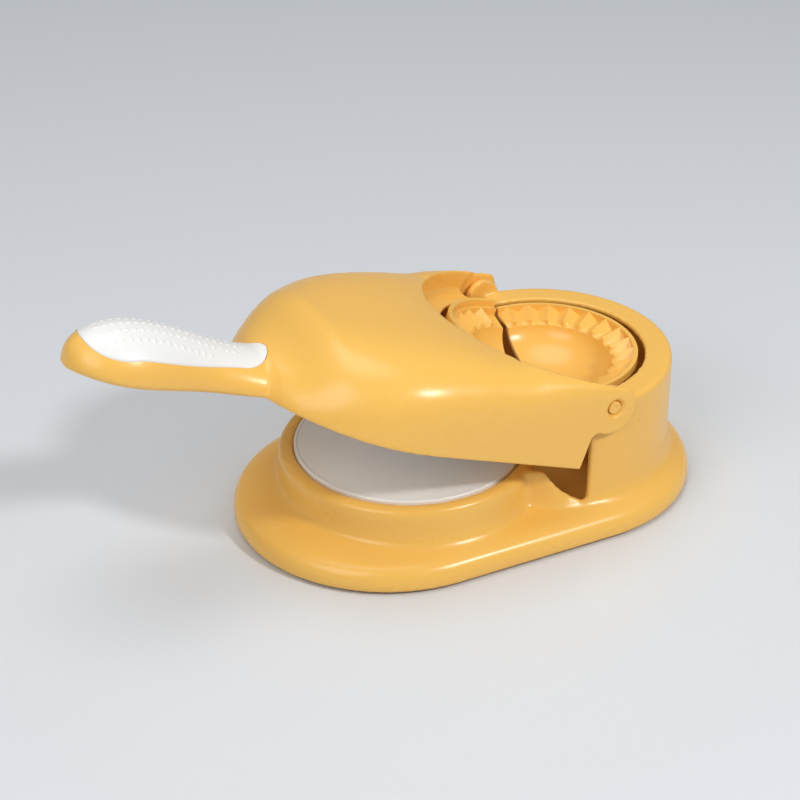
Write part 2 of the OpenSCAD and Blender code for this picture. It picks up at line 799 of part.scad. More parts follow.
// The hollow of the lid, with bosses for the liner's screws left standing in it
liner_room = 0.2;
cavity_drop = 6;
module lid_inside() {
    difference() {
        union() {
            linear_extrude(liner_top + liner_room) lid_plan(recess_r);
            intersection() {
                skin([for (x = inner_x) cross_section(x, lid_wall - cavity_lap, rim_h - cavity_drop)]);
                linear_extrude(big) lid_plan(recess_r);
            }
        }
        translate([hinge_x, 0, deck_z - deck_t]) cylinder(r = recess_r + lid_wall, h = big);
        for (p = liner_screw_xy) boss(p, boss_r, liner_top, big);
    }
}

// What is cut away below and behind the ears, seen from the side
ear_x = hinge_x - ear_front;
ear_z = hinge_z - ear_drop;
skirt_x = hinge_x - skirt_back;
corner_x = skirt_x + ear_corner_r;
corner_drop = sqrt(pow(ear_r + ear_corner_r, 2) - pow(ear_x - corner_x, 2));
corner_reach = 1.15;
module ear_cut() {
    rotate([90, 0, 0]) linear_extrude(big, center = true) difference() {
        translate([skirt_x, -big / 2]) square(big);
        translate([ear_x, ear_z]) circle(ear_r);
        translate([skirt_x - 1, ear_z]) square([skirt_back - ear_front + 1, big]);
        difference() {
            translate([skirt_x - 1, ear_z - corner_drop])
                square([1 + ear_corner_r * corner_reach, corner_drop]);
            translate([corner_x, ear_z - corner_drop]) circle(ear_corner_r);
        }
    }
}

recess_lip = 1.2;
lug_clear = 1.8;
lug_side_gap = 0.8;
grip_seat_gap = 0.15;
grip_ledge = 3.2;
module lid_shell() {
    color("#f2b950") lid_pose() difference() {
        lid_outside();
        lid_inside();
        ear_cut();
        // recess that takes the tower when the lid is folded over
        translate([hinge_x, 0, deck_z]) cylinder(r = recess_r, h = big);
        translate([hinge_x, 0, lid_top - recess_lip])
            cylinder(r1 = recess_r, r2 = recess_r + recess_lip + over, h = recess_lip + over);
        translate([hinge_x, 0, 0]) cylinder(r = deck_hole_r, h = big);
        translate([hinge_x - deck_gap, -recess_r, 0]) cube([big, 2 * recess_r, big]);
        both_sides() {
            cross_rod(hinge_x, hinge_z, lug_r + lug_clear, lug_in - lug_side_gap, recess_r);
            cross_rod(hinge_x, hinge_z, pin_r + pin_grip, recess_r - over, big);
            cross_rod(hinge_x, hinge_z, pin_recess_r, lid_r - pin_recess_d, big);
        }
        for (p = liner_screw_xy)
            boss(p, screw_r + pilot_gap, 0, liner_top + liner_bite + pilot_over);
        // seat of the grip, a pocket under it and its screw holes
        grip_form(grip_gap, over, grip_t + grip_seat_gap);
        translate([0, 0, handle_low + handle_floor_t]) linear_extrude(big) grip_plan(-grip_ledge);
        for (p = grip_screw_xy) {
            boss(p, screw_r + through_gap, 0, crown_h);
            boss(p, head_r + through_gap, 0, handle_low + head_t);
        }
    }
}

module grip_plan(g) {
    nose_end = grip_start + grip_nose_span / 2;
    rear = [for (i = [0:6]) grip_rear + (grip_end_r + g - small) * sin(90 * i / 6)];
    side = [for (s = concat([grip_start - g + small], steps(nose_end, grip_rear, 9), rear))
        [s, grip_half(s, g)]];
    polygon(concat([for (q = side) [tip_x + q[0], q[1]]],
        [for (i = [len(side) - 1:-1:0]) [tip_x + side[i][0], -side[i][1]]]));
}

module handle_grip() {
    color("#f4f2ee") lid_pose() difference() {
        union() {
            grip_form(0, 0, grip_t);
            for (p = grip_screw_xy)
                boss(p, boss_r, handle_low + handle_floor_t, top_at(p[0], 0) - grip_t / 2);
        }
        for (p = grip_screw_xy)
            boss(p, screw_r + pilot_gap, 0, handle_low + handle_floor_t + liner_bite + pilot_over);
    }
}

module grip_screws() {
    color("#b9bcc0") lid_pose() for (p = grip_screw_xy)
        screw(p, handle_low + head_t, handle_floor_t - head_t + liner_bite);
}

cheek_side = 2;
module lid_liner() {
    color("#f2b950") lid_pose() difference() {
        translate([0, 0, liner_z]) linear_extrude(liner_t) difference() {
            lid_plan(liner_r);
            translate([skirt_x, -big / 2]) square(big);
            for (m = [0, 1]) mirror([0, m])
                translate([hinge_x - cheek_len - cheek_clear, pit_r - cheek_side]) square(big);
        }
        for (p = press_screw_xy) boss(p, boss_r + through_gap, 0, big);
        for (p = concat(liner_screw_xy, folding_screw_xy)) {
            boss(p, screw_r + through_gap, 0, big);
            boss(p, head_r + through_gap, 0, liner_z + head_t);
        }
    }
}

module liner_screws() {
    color("#b9bcc0") lid_pose() for (p = liner_screw_xy)
        screw(p, liner_z + head_t, liner_t - head_t + liner_bite);
}

press_edge = 0.8;
module press_plate() {
    color("#f4f2ee") lid_pose() difference() {
        union() {
            translate([platform_x, 0, press_h]) rotate_extrude() polygon(concat([[0, 0]],
                arc(press_r - press_edge, press_edge, press_edge, -90, 0, 4),
                [[press_r, press_t], [0, press_t]]));
            for (p = press_screw_xy) boss(p, boss_r, liner_z - plate_boss_lap, liner_top);
        }
        for (p = press_screw_xy)
            boss(p, screw_r + pilot_gap, liner_z - press_bite - plate_boss_lap, big);
    }
}

module press_plate_screws() {
    color("#b9bcc0") lid_pose() for (p = press_screw_xy)
        washer_screw(p, liner_top, liner_t + press_bite, -1);
}

pin_end_gap = 0.4;
pin_edge = 0.3;
module hinge_pin() {
    pin_end = lid_r - pin_sunk;
    lid_pose() {
        cross_rod(hinge_x, hinge_z, pin_r, lug_in + lug_web + pin_end_gap, pin_end - pin_edge);
        translate([hinge_x, pin_end - pin_edge - small, hinge_z]) rotate([-90, 0, 0])
            cylinder(r1 = pin_r, r2 = pin_r - pin_edge, h = pin_edge);
    }
}

module near_hinge_pin() {
    color("#e3a63f") mirror([0, 1, 0]) hinge_pin();
}

module far_hinge_pin() {
    color("#e3a63f") hinge_pin();
}

base_shell();
bottom_cover();
cover_screws();
rubber_feet();
dough_plate();
dough_plate_screws();
fixed_mould();
fixed_mould_screws();
lid_shell();
handle_grip();
grip_screws();
lid_liner();
liner_screws();
press_plate();
press_plate_screws();
folding_mould();
folding_mould_screws();
near_hinge_pin();
far_hinge_pin();
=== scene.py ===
import math

import bmesh
import bpy
import numpy as np
from mathutils import Matrix, Vector
from mathutils.bvhtree import BVHTree


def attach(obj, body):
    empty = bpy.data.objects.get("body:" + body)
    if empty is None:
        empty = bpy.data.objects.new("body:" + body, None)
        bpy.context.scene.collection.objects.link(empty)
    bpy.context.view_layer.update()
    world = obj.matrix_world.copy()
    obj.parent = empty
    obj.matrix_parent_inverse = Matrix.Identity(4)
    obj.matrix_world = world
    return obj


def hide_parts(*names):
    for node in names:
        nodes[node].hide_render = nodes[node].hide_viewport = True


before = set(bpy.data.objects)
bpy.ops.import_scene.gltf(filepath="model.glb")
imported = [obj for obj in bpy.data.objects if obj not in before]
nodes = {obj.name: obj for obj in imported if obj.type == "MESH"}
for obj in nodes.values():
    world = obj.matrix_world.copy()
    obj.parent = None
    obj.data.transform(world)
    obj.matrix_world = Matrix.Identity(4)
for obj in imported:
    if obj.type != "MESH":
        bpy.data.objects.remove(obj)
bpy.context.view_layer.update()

# ---- Base moulding -----------------------------------------------------------
# The base is one thin shell of satin yellow plastic, injection moulded, with a low
# platform for the dough plate and a round tower that carries the hinge. Its skin
# has the fine even grain that a spark-eroded mould leaves.


def add_sockets(group, in_out, kinds):
    for name, kind in kinds.items():
        group.interface.new_socket(name=name, in_out=in_out, socket_type="NodeSocket" + kind)


def moulded_skin_group():
    """Grain, faint flow marks and uneven gloss of moulded plastic, at their real sizes."""
    group = bpy.data.node_groups.new("Moulded Skin", "ShaderNodeTree")
    add_sockets(group, "INPUT", {"Colour": "Color", "Grain per Metre": "Float", "Grain Depth": "Float",
                                 "Gloss Low": "Float", "Gloss High": "Float", "Mottle": "Float"})
    add_sockets(group, "OUTPUT", {"Colour": "Color", "Roughness": "Float", "Normal": "Vector"})
    new, wire = group.nodes.new, group.links.new
    given, out = new("NodeGroupInput"), new("NodeGroupOutput")
    place = new("ShaderNodeTexCoord")

    flow = new("ShaderNodeTexNoise")
    flow.inputs["Scale"].default_value = 22.0
    flow.inputs["Detail"].default_value = 4.0
    wire(place.outputs["Object"], flow.inputs["Vector"])
    grain = new("ShaderNodeTexNoise")
    grain.inputs["Detail"].default_value = 2.0
    wire(place.outputs["Object"], grain.inputs["Vector"])
    wire(given.outputs["Grain per Metre"], grain.inputs["Scale"])

    # the colour goes a little lighter and darker about its own value
    centred = new("ShaderNodeMath")
    centred.operation = "SUBTRACT"
    centred.inputs[1].default_value = 0.5
    wire(flow.outputs["Fac"], centred.inputs[0])
    shade = new("ShaderNodeMath")
    shade.operation = "MULTIPLY_ADD"
    shade.inputs[2].default_value = 1.0
    wire(centred.outputs[0], shade.inputs[0])
    wire(given.outputs["Mottle"], shade.inputs[1])
    tint = new("ShaderNodeVectorMath")
    tint.operation = "SCALE"
    wire(given.outputs["Colour"], tint.inputs[0])
    wire(shade.outputs[0], tint.inputs["Scale"])
    wire(tint.outputs["Vector"], out.inputs["Colour"])

    gloss = new("ShaderNodeMapRange")
    gloss.inputs["From Min"].default_value = 0.3
    gloss.inputs["From Max"].default_value = 0.7
    wire(flow.outputs["Fac"], gloss.inputs["Value"])
    wire(given.outputs["Gloss Low"], gloss.inputs["To Min"])
    wire(given.outputs["Gloss High"], gloss.inputs["To Max"])
    wire(gloss.outputs["Result"], out.inputs["Roughness"])

    relief = new("ShaderNodeBump")
    relief.inputs["Strength"].default_value = 1.0
    wire(grain.outputs["Fac"], relief.inputs["Height"])
    wire(given.outputs["Grain Depth"], relief.inputs["Distance"])
    wire(relief.outputs["Normal"], out.inputs["Normal"])
    return group


moulded_skin = moulded_skin_group()
plastic_ior = 1.48
grain_per_metre = 1600.0


def new_material(name, group, values):
    """A material with one skin group in it, whose roughness and normal go to the shader."""
    material = bpy.data.materials.new(name)
    material.use_nodes = True
    tree = material.node_tree
    shader = tree.nodes["Principled BSDF"]
    skin = tree.nodes.new("ShaderNodeGroup")
    skin.node_tree = group
    for socket, value in values.items():
        skin.inputs[socket].default_value = value
    for socket in ("Roughness", "Normal"):
        tree.links.new(skin.outputs[socket], shader.inputs[socket])
    return material, tree, shader, skin


def plastic(name, colour, gloss, depth, mottle):
    material, tree, shader, skin = new_material(name, moulded_skin, {
        "Colour": (*colour, 1.0), "Grain per Metre": grain_per_metre, "Grain Depth": depth,
        "Gloss Low": gloss[0], "Gloss High": gloss[1], "Mottle": mottle})
    tree.links.new(skin.outputs["Colour"], shader.inputs["Base Color"])
    shader.inputs["IOR"].default_value = plastic_ior
    return material


def paint(node, material):
    mesh = nodes[node].data
    mesh.materials.clear()
    mesh.materials.append(material)


yellow = plastic("Yellow Moulded Plastic", (0.92, 0.52, 0.105),
                 gloss=(0.24, 0.31), depth=0.00002, mottle=0.03)


def skin_over(name, rings):
    """A closed mesh through rings that all have the same number of points."""
    form = bmesh.new()
    rows = [[form.verts.new(p) for p in ring] for ring in rings]
    count = len(rings[0])
    for near, far in zip(rows, rows[1:]):
        for i in range(count):
            j = (i + 1) % count
            form.faces.new((near[i], near[j], far[j], far[i]))
    form.faces.new(rows[0])
    form.faces.new(list(reversed(rows[-1])))
    bmesh.ops.recalc_face_normals(form, faces=form.faces)
    mesh = bpy.data.meshes.new(name)
    form.to_mesh(mesh)
    form.free()
    obj = bpy.data.objects.new(name, mesh)
    bpy.context.scene.collection.objects.link(obj)
    return obj


def full_turn(count):
    return [2 * math.pi * i / count for i in range(count)]


def drum(x, y, radius, low, high, segments=192):
    """An upright round cutter or boss."""
    turns = full_turn(segments)
    return skin_over("drum", [[(x + radius * math.cos(t), y + radius * math.sin(t), z) for t in turns]
                              for z in (low, high)])


def cross_drum(radius, side, inner, outer, segments=96):
    """A round cutter or rod about the hinge's line, on one side of the press."""
    turns = full_turn(segments)
    return skin_over("cross_drum", [[(hinge.x + radius * math.cos(t), y, hinge.z + radius * math.sin(t))
                                     for t in turns] for y in sorted((side * inner, side * outer))])


def slab(outline, low, high, upright=False):
    """A flat shape given thickness: upward, or sideways when it is drawn upright."""
    if upright:
        return skin_over("slab", [[(a, depth, b) for a, b in outline] for depth in (low, high)])
    return skin_over("slab", [[(a, b, height) for a, b in outline] for height in (low, high)])


def settle(obj):
    """Makes the result of an object's modifiers its own mesh."""
    graph = bpy.context.evaluated_depsgraph_get()
    mesh = bpy.data.meshes.new_from_object(obj.evaluated_get(graph))
    old = obj.data
    obj.modifiers.clear()
    obj.data = mesh
    bpy.data.meshes.remove(old)


def carve(target, tool, operation="DIFFERENCE", solver="EXACT"):
    """Cuts, joins or keeps what is common, then throws the tool away."""
    change = target.modifiers.new("carve", "BOOLEAN")
    change.operation, change.solver, change.object = operation, solver, tool
    settle(target)
    bpy.data.objects.remove(tool)


def ease_points(obj, rounds, group=""):
    """Smooths a mesh, all over or where a vertex group says so."""
    ease_out = obj.modifiers.new("ease", "SMOOTH")
    ease_out.factor, ease_out.iterations, ease_out.vertex_group = 0.5, rounds, group
    settle(obj)


def soften(obj, voxel, rounds=4):
    """Rounds every edge as a mould does: a fine even mesh, eased a little."""
    even = obj.modifiers.new("even", "REMESH")
    even.mode, even.voxel_size = "VOXEL", voxel
    settle(obj)
    ease_points(obj, rounds)


def points_of(obj):
    places = np.empty(len(obj.data.vertices) * 3)
    obj.data.vertices.foreach_get("co", places)
    return places.reshape(-1, 3)


def ramp(value, low, high):
    t = np.clip((value - low) / (high - low), 0, 1)
    return t * t * (3 - 2 * t)


def finish_piece(obj, name, body, material, stands_for, crease=None):
    """Gives a piece its name, material and place in the frame. Edges past the crease angle stay crisp."""
    obj.name = obj.data.name = name
    obj.data.materials.clear()
    obj.data.materials.append(material)
    obj.data.shade_smooth()
    if crease:
        obj.data.set_sharp_from_angle(angle=math.radians(crease))
    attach(obj, body)
    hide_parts(stands_for)


def stadium(layers, segments=128):
    """The base's long outline, built up from layers of radius and height."""
    half_turn = [math.pi * (2 * i / (segments - 2) - 0.5) for i in range(segments // 2)]
    rings = []
    for radius, z in layers:
        ring = [(arc_x + radius * math.cos(t), radius * math.sin(t), z) for t in half_turn]
        rings.append(ring + [(-x, -y, z) for x, y, z in ring])
    return skin_over("stadium", rings)


def round_corner(r, z, radius, start, end, count):
    turns = [math.radians(start + (end - start) * i / count) for i in range(count + 1)]
    return [(r + radius * math.cos(t), z + radius * math.sin(t)) for t in turns]


def turned(x, profile, segments=192):
    """A body of revolution from a list of radius and height, bottom to top."""
    turns = full_turn(segments)
    return skin_over("turned", [[(x + r * math.cos(t), r * math.sin(t), z) for t in turns]
                                for r, z in profile])


def on_circle(x, radius, degrees):
    return [(x + radius * math.cos(math.radians(a)), radius * math.sin(math.radians(a))) for a in degrees]


# the main sizes, in millimetres from the middle of the base's underside
MM = 0.001
to_metres = Matrix.Scale(MM, 4)
hinge = Vector((35.5, 0.0, 57.0))
arc_x, base_radius, base_wall = 35.5, 62.5, 2.6
platform_x, platform_radius, platform_top, platform_edge = -26.0, 52.4, 29.3, 3.0
tower_radius, tower_edge, well_radius, pit_floor = 52.8, 1.4, 41.7, 8.0
pit_radius = tower_radius - base_wall
sole, sole_edge = 1.0, 1.4
flange_top, flange_edge, flange_rise = 12.0, 8.0, 1.6
fillet, fillet_turn, fillet_lift, wall_root = 4.5, 257, 0.2, 3
plate_seat_radius, plate_seat = 46.9, 26.9
cheek_front, curb_x, curb_z, curb_radius = 27.5, 38.0, 42.0, 30.0
cover_seat, cover_ledge, ledge_top, hollow_edge = 3.6, 1, 7.9, 9.4
pillar_ring, pillar_turn, plate_screw_ring = 33.4, 40, 30
cover_screw_x, cover_screw_y = 42.59, 35.74
pillars = on_circle(hinge.x, pillar_ring, (-pillar_turn, pillar_turn))
plate_screws = on_circle(platform_x, plate_screw_ring, (60, 180, 300))
cover_screws = [(sx * (arc_x + cover_screw_x), sy * cover_screw_y) for sx in (-1, 1) for sy in (-1, 1)]

# the smallest radius at a turned or long form's middle, and how far the cutters reach
axis, core = 0.05, 0.5
beside, past_base, above, above_tower, hair = 90.0, 200.0, 90, 120.0, 0.01


def round_wall(x, radius, top, edge):
    """The platform or the tower, with a fillet at its foot and a rounded top edge."""
    foot = flange_top + fillet_lift
    return turned(x, [(axis, foot - wall_root),
                      (radius + fillet * (1 + math.cos(math.radians(fillet_turn))), foot - wall_root)]
                  + round_corner(radius + fillet, foot + fillet, fillet, fillet_turn, 180, 8)
                  + round_corner(radius - edge, top - edge, edge, 0, 90, 8) + [(axis, top)])


base = stadium([(core, sole)] + round_corner(base_radius - sole_edge, sole + sole_edge, sole_edge, -90, 0, 6)
               + round_corner(base_radius - flange_edge, flange_top - flange_edge, flange_edge, 0, 78, 14)
               + [(platform_radius - fillet, flange_top + flange_rise), (core, flange_top + flange_rise)])

# the tower's front is cut away down a curb, which leaves the two cheeks
tower = round_wall(hinge.x, tower_radius, hinge.z, tower_edge)
arc_start = math.pi + math.asin((curb_z - platform_top) / curb_radius)
arc_end = math.pi + math.acos((curb_x - cheek_front) / curb_radius)
front_cut = [(curb_x + curb_radius * math.cos(t), curb_z + curb_radius * math.sin(t))
             for t in np.linspace(arc_start, arc_end, 33)]
front_cut += [(cheek_front, above_tower), (-past_base, above_tower), (-past_base, platform_top)]
carve(tower, slab(front_cut, -beside, beside, upright=True))
carve(base, tower, "UNION")
carve(base, round_wall(platform_x, platform_radius, platform_top, platform_edge), "UNION")

# the pit inside the tower, with a lip over its back half only
lip_gap = 0.3
lip_front = hinge.x + lip_gap
pit = drum(hinge.x, 0, pit_radius, pit_floor, hinge.z - base_wall)
carve(pit, drum(hinge.x, 0, well_radius, pit_floor, above), "UNION")
open_front = drum(hinge.x, 0, pit_radius, pit_floor, above)
carve(open_front, slab([(lip_front, -beside), (past_base, -beside), (past_base, beside),
                        (lip_front, beside)], 0, above + 5))
carve(pit, open_front, "UNION")
carve(pit, drum(platform_x, 0, platform_radius, 0, platform_top + hair))
carve(base, pit)

# the hollow underside, with posts left for the screws
hollow_radius, hollow_root, over_hollow = base_radius - base_wall, 3.5, 60
cover_post, pillar_post = 3.3, 5.9
under = stadium([(hollow_radius, -1.0), (hollow_radius, cover_seat),
                 (hollow_radius - cover_ledge, cover_seat + hair), (hollow_radius - cover_ledge, ledge_top),
                 (hollow_radius - flange_edge, hollow_edge)])
carve(under, drum(hinge.x, 0, tower_radius, pit_floor - base_wall, over_hollow))
carve(under, drum(platform_x, 0, platform_radius - base_wall, hollow_root, plate_seat - base_wall), "UNION")
for places, post_radius in ((cover_screws, cover_post), (pillars, pillar_post)):
    for x, y in places:
        carve(under, drum(x, y, post_radius, cover_seat, over_hollow, segments=32))
carve(base, under)
carve(base, drum(platform_x, 0, plate_seat_radius, plate_seat, above))

# a stepped lug each side for the hinge, and two pillars for the fixed half of the mould
lug_steps, lug_inner = ((7.2, 52.3), (5.0, 53.72)), 49.0
pillar_radius, pillar_top = 4.6, 30
for side in (-1, 1):
    for radius, face in lug_steps:
        carve(base, cross_drum(radius, side, lug_inner, face), "UNION")
for x, y in pillars:
    carve(base, drum(x, y, pillar_radius, pit_floor - 1, pillar_top, segments=48), "UNION")
soften(base, 1.0)


def blend_foot(obj, rounds):
    """Sweeps the foot of the walls softly into the flange, but not at the cheeks' sharp feet."""
    p = points_of(obj)
    ahead = np.maximum(np.abs(p[:, 0]) - arc_x, 0)
    from_edge = base_radius - np.hypot(ahead, p[:, 1])
    outside = np.minimum(np.hypot(p[:, 0] - hinge.x, p[:, 1]) - pit_radius - 1.2,
                         np.hypot(p[:, 0] - platform_x, p[:, 1]) - platform_radius + 1.4)
    from_cheek = np.hypot(p[:, 0] - cheek_front, np.abs(p[:, 1]) - 50.5)
    sets_in, dies_out, edge_fade = (8.5, 11.0), (18.0, 24.0), (1.5, 5.0)
    wall_fade, cheek_fade = (0.0, 0.4), (4.0, 9.0)
    weight = (ramp(p[:, 2], *sets_in) * (1 - ramp(p[:, 2], *dies_out)) * ramp(from_edge, *edge_fade)
              * ramp(outside, *wall_fade) * ramp(from_cheek, *cheek_fade))
    group = obj.vertex_groups.new(name="foot")
    for i in np.nonzero(weight > 0.01)[0]:
        group.add([int(i)], float(weight[i]), "REPLACE")
    ease_points(obj, rounds, "foot")
    obj.vertex_groups.clear()


blend_foot(base, 70)

# bores, cut after the softening so that they stay crisp
screw_radius, screw_root, cover_screw_top = 1.54, 3, 8.6
lug_bore, lug_bore_inner, lug_bore_outer = 2.76, 50.4, 55.0
plate_boss_room, head_bore, head_bore_top, shank_bore = 3.6, 3.2, 27, 1.8
for side in (-1, 1):
    carve(base, cross_drum(lug_bore, side, lug_bore_inner, lug_bore_outer))
for x, y in plate_screws:
    carve(base, drum(x, y, plate_boss_room, screw_root, plate_seat + 1, segments=32))
for x, y in cover_screws:
    carve(base, drum(x, y, screw_radius, screw_root, cover_screw_top, segments=24))
for x, y in pillars:
    carve(base, drum(x, y, head_bore, 0, head_bore_top, segments=32))
    carve(base, drum(x, y, shank_bore, head_bore_top - 1, pillar_top + 1, segments=24))
base.data.transform(to_metres)
finish_piece(base, "base_moulding", "base", yellow, "base_shell", crease=60)

# ---- Bottom cover ------------------------------------------------------------
# A flat yellow moulding that closes the base from below. It drops into a ledge inside the
# flange and four screws hold it.
paint("bottom_cover", yellow)

# ---- Screws ------------------------------------------------------------------
# Thread-forming steel screws, zinc plated, go in from below and never show from above.
# Their heads carry the faint turning marks of cold-headed wire.


def fine_specks_group():
    """Small specks that change the tone, the roughness and the relief together."""
    group = bpy.data.node_groups.new("Fine Specks", "ShaderNodeTree")
    add_sockets(group, "INPUT", {"Specks per Metre": "Float", "Detail": "Float", "Roughness Low": "Float",
                                 "Roughness High": "Float", "Relief": "Float", "Relief Depth": "Float"})
    add_sockets(group, "OUTPUT", {"Specks": "Float", "Roughness": "Float", "Normal": "Vector"})
    new, wire = group.nodes.new, group.links.new
    given, out = new("NodeGroupInput"), new("NodeGroupOutput")
    place, specks = new("ShaderNodeTexCoord"), new("ShaderNodeTexNoise")
    wire(place.outputs["Object"], specks.inputs["Vector"])
    wire(given.outputs["Specks per Metre"], specks.inputs["Scale"])
    wire(given.outputs["Detail"], specks.inputs["Detail"])
    wire(specks.outputs["Fac"], out.inputs["Specks"])
    polish, relief = new("ShaderNodeMapRange"), new("ShaderNodeBump")
    wire(specks.outputs["Fac"], polish.inputs["Value"])
    wire(given.outputs["Roughness Low"], polish.inputs["To Min"])
    wire(given.outputs["Roughness High"], polish.inputs["To Max"])
    wire(polish.outputs["Result"], out.inputs["Roughness"])
    wire(specks.outputs["Fac"], relief.inputs["Height"])
    wire(given.outputs["Relief"], relief.inputs["Strength"])
    wire(given.outputs["Relief Depth"], relief.inputs["Distance"])
    wire(relief.outputs["Normal"], out.inputs["Normal"])
    return group


fine_specks = fine_specks_group()


def speckled(name, values, dark, light, metallic=0.0):
    """A material whose tone runs from dark to light, each a colour and its place on the specks."""
    material, tree, shader, skin = new_material(name, fine_specks, values)
    tone = tree.nodes.new("ShaderNodeValToRGB")
    for element, (colour, position) in zip(tone.color_ramp.elements, (dark, light)):
        element.color, element.position = (*colour, 1.0), position
    tree.links.new(skin.outputs["Specks"], tone.inputs["Fac"])
    tree.links.new(tone.outputs["Color"], shader.inputs["Base Color"])
    shader.inputs["Metallic"].default_value = metallic
    return material


steel = speckled("Zinc Plated Steel", {
    "Specks per Metre": 900.0, "Detail": 3.0, "Roughness Low": 0.26, "Roughness High": 0.42,
    "Relief": 0.4, "Relief Depth": 0.00003},
    dark=((0.50, 0.51, 0.52), 0.35), light=((0.66, 0.67, 0.69), 0.65), metallic=1.0)
for node in ("cover_screws", "dough_plate_screws", "fixed_mould_screws", "grip_screws", "liner_screws",
             "press_plate_screws", "folding_mould_screws"):
    paint(node, steel)

# ---- Feet --------------------------------------------------------------------
# Five soft black rubber feet pressed into the bottom cover, four near its ends and one in
# the middle, matt and a little dusty.
paint("rubber_feet", speckled("Black Rubber", {
    "Specks per Metre": 260.0, "Detail": 6.0, "Roughness Low": 0.72, "Roughness High": 0.92,
    "Relief": 0.6, "Relief Depth": 0.00004},
    dark=((0.020, 0.020, 0.021), 0.45), light=((0.065, 0.063, 0.060), 0.72)))

# ---- Dough plate -------------------------------------------------------------
# A round plate of white plastic, on which the dough is pressed flat. It is let into the
# platform, a little dished, with a bead round its rim, and three screws hold it from below.
white = plastic("White Moulded Plastic", (0.86, 0.85, 0.82),
                gloss=(0.28, 0.36), depth=0.00001, mottle=0.015)
dish_rim, dish_inner, rim_bead = 46.2, 44.7, 0.8
rim_top = platform_top + 0.6
dish_step, dish_depth = 0.5, 0.9
boss_radius, boss_root, bore_root = 3.3, 0.5, 4
dish = turned(platform_x, [(axis, plate_seat), (dish_rim, plate_seat)]
              + round_corner(dish_rim - rim_bead, rim_top - rim_bead, rim_bead, 0, 150, 12)
              + [(dish_inner * k, rim_top - dish_step - dish_depth * (1 - k * k))
                 for k in np.linspace(1, 0.001, 24)], 256)
for x, y in plate_screws:
    boss = drum(x, y, boss_radius, plate_seat - base_wall, plate_seat + boss_root, segments=48)
    carve(dish, boss, "UNION")
    carve(dish, drum(x, y, screw_radius, plate_seat - bore_root, plate_seat + 0.4, segments=32))
dish.data.transform(to_metres)
finish_piece(dish, "dough_dish", "base", white, "dough_plate", crease=40)

# ---- Crimping moulds ---------------------------------------------------------
# Two yellow half bowls with sharp pleats round their rims. One half is screwed to the tower,
# the other to the lid, and they fold together when the lid is thrown right over.
pocket_radius, pleat_radius, fixed_radius = 28.6, 37.2, 38.9
pleat_count, pleat_height, valley_drop = 13, 3.0, 2.0
mould_thickness, mould_gap = 1.8, 0.3
pleat_top = -mould_gap
pleat_floor = pleat_top - pleat_height
mould_foot = pleat_floor - mould_thickness
bowl_depth, bowl_middle = 15.4, 0.02
boss_turn, boss_bore, fixed_boss_foot, folding_boss_foot = math.radians(pillar_turn), 9, 30.0, 36.2


def bowl_curve(start, end, count, radius, depth):
    """Points on the bowl's quarter ellipse, between two angles from its middle."""
    turns = np.linspace(start, end, count)
    return [(radius * math.sin(t), pleat_floor - depth * math.cos(t)) for t in turns]


def mould_half(name, rim, first_peak, facing, samples=16):
    """Half a bowl about the hinge's middle. Its pleats run from ridge to valley and back."""
    deep = math.acos(valley_drop / bowl_depth)
    bowl = bowl_curve(bowl_middle, deep, 22, pocket_radius, bowl_depth)
    ridge = bowl_curve(deep, math.pi / 2, 4, pocket_radius, bowl_depth)[1:]
    ridge += [(pocket_radius + (pleat_radius - pocket_radius) * k, pleat_floor + pleat_height * k)
              for k in (0.25, 0.5, 0.75, 1.0)]
    low_start = pleat_floor - valley_drop
    valley = [(bowl[-1][0] + (pleat_radius - bowl[-1][0]) * k, low_start + valley_drop * k)
              for k in np.linspace(0, 1, len(ridge) + 1)[1:]]
    under_end = math.acos(mould_thickness / (bowl_depth + mould_thickness))
    below = bowl_curve(under_end, bowl_middle, 20,
                       pocket_radius + mould_thickness, bowl_depth + mould_thickness)
    rings = []
    for i in range(pleat_count * samples + 1):
        turn = math.pi * (i / (pleat_count * samples) - 0.5)
        share = (i / samples + first_peak) % 1.0
        raised = 1 - abs(2 * share - 1)
        if first_peak and not samples // 2 <= i <= pleat_count * samples - samples // 2:
            raised = 0.0
        pleat = [(v[0] + (r[0] - v[0]) * raised, v[1] + (r[1] - v[1]) * raised)
                 for v, r in zip(valley, ridge)]
        outline = bowl + pleat + [(pleat_radius, pleat_top)] + rim + below
        rings.append([(hinge.x + facing * max(r * math.cos(turn), mould_gap), facing * r * math.sin(turn),
                       hinge.z + z) for r, z in outline])
    return skin_over(name, rings)


def add_mould_bosses(mould, facing, low):
    """Two bored bosses under a mould half, which take its screws."""
    for side in (-1, 1):
        x = hinge.x + facing * pillar_ring * math.cos(boss_turn)
        y = side * pillar_ring * math.sin(boss_turn)
        boss_top = hinge.z + pleat_floor - mould_thickness / 2
        carve(mould, drum(x, y, boss_radius, low, boss_top, segments=48), "UNION")
        carve(mould, drum(x, y, screw_radius, low - 1, low + boss_bore, segments=32))


fixed_half = mould_half("fixed_half", [(fixed_radius, pleat_top), (fixed_radius, mould_foot)], 0.0, 1)
add_mould_bosses(fixed_half, 1, fixed_boss_foot)
fixed_half.data.transform(to_metres)
finish_piece(fixed_half, "fixed_crimping_half", "base", yellow, "fixed_mould", crease=28)

# the folding half has a raised ring outside its pleats; it is finished with the lid
ring_inside, ring_outside, ring_rise, ring_edge = 39.35, 41.25, 2.6, 0.4
ring = [(ring_inside, pleat_top), (ring_inside, ring_rise - ring_edge), (ring_inside + ring_edge, ring_rise),
        (ring_outside - ring_edge, ring_rise), (ring_outside, ring_rise - ring_edge),
        (ring_outside, mould_foot)]
folding_half = mould_half("folding_half", ring, 0.5, -1)
add_mould_bosses(folding_half, -1, folding_boss_foot)

